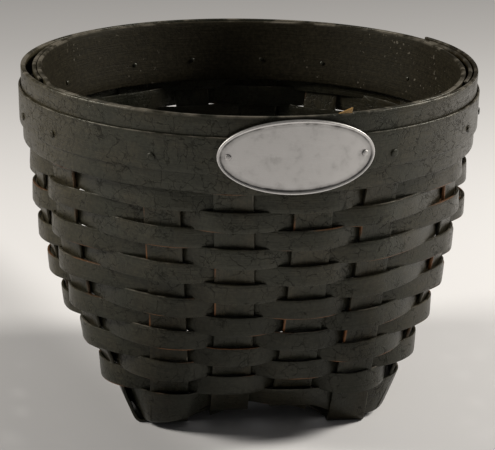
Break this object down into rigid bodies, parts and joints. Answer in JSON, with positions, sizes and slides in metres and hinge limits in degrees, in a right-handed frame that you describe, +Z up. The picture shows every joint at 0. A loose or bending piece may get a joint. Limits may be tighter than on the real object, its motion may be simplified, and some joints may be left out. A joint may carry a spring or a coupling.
{
  "type": "splint basket",
  "caption": "Open-topped woven splint basket with a round banded rim, a square domed base standing on its corners, and an oval plate pinned to the front of the rim.",
  "frame": {"origin": "on the floor under the middle of the basket", "axes": "+Z up; the face with the oval plate looks along -Y, and +X is to its right as seen from the front"},
  "size_m": [0.2373, 0.2392, 0.1739],
  "materials": {
    "upright_splint": "dark olive-grey crackle paint, a little browner, worn to wood at the edges",
    "weaver_splint": "dark olive-grey crackle paint with a satin sheen, worn at the edges",
    "rim_band": "dark olive-grey crackle paint with a satin sheen, lighter along the top edges",
    "painted_tack": "steel tacks painted over with the basket",
    "pewter": "cast pewter with a bright raised rim and darker recesses"
  },
  "bodies": {
    "root": {"upright_splint_front_to_back_1": "upright_splint", "upright_splint_front_to_back_2": "upright_splint", "upright_splint_front_to_back_3": "upright_splint", "upright_splint_front_to_back_4": "upright_splint", "upright_splint_side_to_side_1": "upright_splint", "upright_splint_side_to_side_2": "upright_splint", "upright_splint_side_to_side_3": "upright_splint", "upright_splint_side_to_side_4": "upright_splint", "rim_weaver_1": "weaver_splint", "weaver_row_01": "weaver_splint", "weaver_row_02": "weaver_splint", "weaver_row_03": "weaver_splint", "weaver_row_04": "weaver_splint", "weaver_row_05": "weaver_splint", "weaver_row_06": "weaver_splint", "weaver_row_07": "weaver_splint", "weaver_row_08": "weaver_splint", "weaver_row_09": "weaver_splint", "weaver_row_10": "weaver_splint", "weaver_row_11": "weaver_splint", "weaver_row_12": "weaver_splint", "weaver_row_13": "weaver_splint", "outer_rim_band": "rim_band", "inner_rim_band": "rim_band", "trim_band": "rim_band", "rim_tack_01": "painted_tack", "rim_tack_02": "painted_tack", "rim_tack_03": "painted_tack", "rim_tack_04": "painted_tack", "rim_tack_05": "painted_tack", "rim_tack_06": "painted_tack", "rim_tack_07": "painted_tack", "rim_tack_08": "painted_tack", "rim_tack_09": "painted_tack", "rim_tack_10": "painted_tack", "rim_tack_11": "painted_tack", "rim_tack_12": "painted_tack", "rim_tack_13": "painted_tack", "rim_tack_14": "painted_tack", "oval_plate": "pewter", "plate_pin_left": "pewter", "plate_pin_right": "pewter"}
  },
  "joints": []
}
